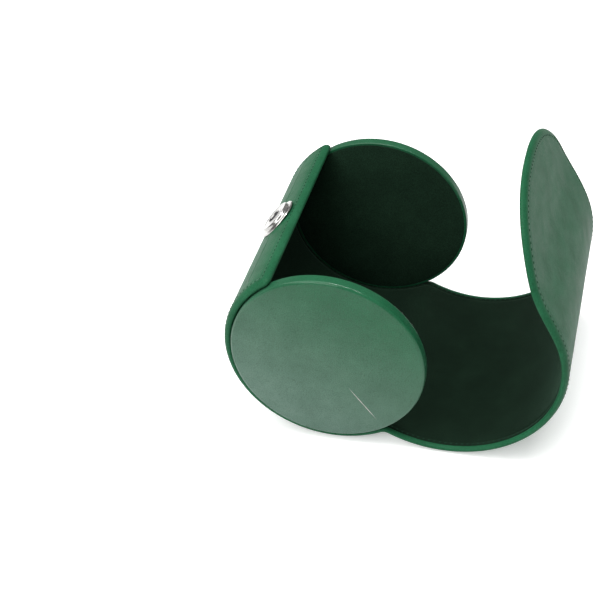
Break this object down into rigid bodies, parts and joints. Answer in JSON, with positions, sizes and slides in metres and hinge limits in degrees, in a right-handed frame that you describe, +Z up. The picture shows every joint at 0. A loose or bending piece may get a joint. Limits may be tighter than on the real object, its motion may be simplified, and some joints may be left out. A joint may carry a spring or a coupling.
{
  "type": "leather dice cup",
  "caption": "Roll-up leather cup with two padded round end discs, a velvet lining and a flap that wraps round them and shuts with a magnetic snap.",
  "frame": {"origin": "on the floor, under the middle of the open cup lying on its side", "axes": "+Y along the cup from the front disc to the back disc, +X towards the open flap, +Z up"},
  "size_m": [0.1312, 0.099, 0.1084],
  "materials": {
    "green_leather": "smooth, semi-gloss",
    "velvet": "short pile",
    "stiffener_board": "matt",
    "foam": "matt",
    "thread": "waxed",
    "nickel": "polished",
    "magnet": "matt",
    "steel": "plated"
  },
  "bodies": {
    "cup": {"wrap_leather": "green_leather", "wrap_board": "stiffener_board", "wrap_lining": "velvet", "wrap_thread": "thread", "front_disc_cover": "green_leather", "front_disc_padding": "foam", "front_disc_board": "stiffener_board", "front_disc_lining": "velvet", "back_disc_cover": "green_leather", "back_disc_padding": "foam", "back_disc_board": "stiffener_board", "back_disc_lining": "velvet", "snap_case": "nickel", "snap_magnet": "magnet", "snap_prongs": "steel", "snap_washer": "steel"},
    "flap_1": {"flap_1_leather": "green_leather", "flap_1_board": "stiffener_board", "flap_1_lining": "velvet", "flap_1_thread": "thread"},
    "flap_2": {"flap_2_leather": "green_leather", "flap_2_board": "stiffener_board", "flap_2_lining": "velvet", "flap_2_thread": "thread"},
    "flap_3": {"flap_3_leather": "green_leather", "flap_3_board": "stiffener_board", "flap_3_lining": "velvet", "flap_3_thread": "thread"},
    "flap_4": {"flap_4_leather": "green_leather", "flap_4_board": "stiffener_board", "flap_4_lining": "velvet", "flap_4_thread": "thread"},
    "flap_5": {"flap_5_leather": "green_leather", "flap_5_board": "stiffener_board", "flap_5_lining": "velvet", "flap_5_thread": "thread"},
    "flap_6": {"flap_6_leather": "green_leather", "flap_6_board": "stiffener_board", "flap_6_lining": "velvet", "flap_6_thread": "thread"},
    "flap_7": {"flap_7_leather": "green_leather", "flap_7_board": "stiffener_board", "flap_7_lining": "velvet", "flap_7_thread": "thread"},
    "flap_8": {"flap_8_leather": "green_leather", "flap_8_board": "stiffener_board", "flap_8_lining": "velvet", "flap_8_thread": "thread", "flap_snap_plate": "nickel", "flap_snap_washer": "steel"}
  },
  "joints": [
    {"name": "flap_crease", "type": "hinge", "parent": "cup", "child": "flap_1", "pos_m": [-0.00319, 0, 0.00583], "axis": [0, -1, 0], "range_deg": [0, 61.66]},
    {"name": "flap_bend_2", "type": "hinge", "parent": "flap_1", "child": "flap_2", "pos_m": [0.01777, 0, 0.00008], "axis": [0, -1, 0], "range_deg": [0, 4.34]},
    {"name": "flap_bend_3", "type": "hinge", "parent": "flap_2", "child": "flap_3", "pos_m": [0.03912, 0, 0.00419], "axis": [0, -1, 0], "range_deg": [0, 2.9]},
    {"name": "flap_bend_4", "type": "hinge", "parent": "flap_3", "child": "flap_4", "pos_m": [0.05611, 0, 0.01775], "axis": [0, -1, 0], "range_deg": [0, 2.9]},
    {"name": "flap_bend_5", "type": "hinge", "parent": "flap_4", "child": "flap_5", "pos_m": [0.06485, 0, 0.03766], "axis": [0, -1, 0], "range_deg": [0, 2.71]},
    {"name": "flap_bend_6", "type": "hinge", "parent": "flap_5", "child": "flap_6", "pos_m": [0.06388, 0, 0.05744], "axis": [0, -1, 0], "range_deg": [-15.5, 0]},
    {"name": "flap_bend_7", "type": "hinge", "parent": "flap_6", "child": "flap_7", "pos_m": [0.05841, 0, 0.07032], "axis": [0, -1, 0], "range_deg": [0, 17.51]},
    {"name": "flap_bend_8", "type": "hinge", "parent": "flap_7", "child": "flap_8", "pos_m": [0.05271, 0, 0.08201], "axis": [0, -1, 0], "range_deg": [0, 42.01]}
  ],
  "couplings": [
    {"joint": "flap_bend_2", "follows": "flap_crease", "ratio": 0.070302},
    {"joint": "flap_bend_3", "follows": "flap_crease", "ratio": 0.046948},
    {"joint": "flap_bend_4", "follows": "flap_crease", "ratio": 0.046948},
    {"joint": "flap_bend_5", "follows": "flap_crease", "ratio": 0.043856},
    {"joint": "flap_bend_6", "follows": "flap_crease", "ratio": -0.25115},
    {"joint": "flap_bend_7", "follows": "flap_crease", "ratio": 0.28381},
    {"joint": "flap_bend_8", "follows": "flap_crease", "ratio": 0.68115}
  ]
}
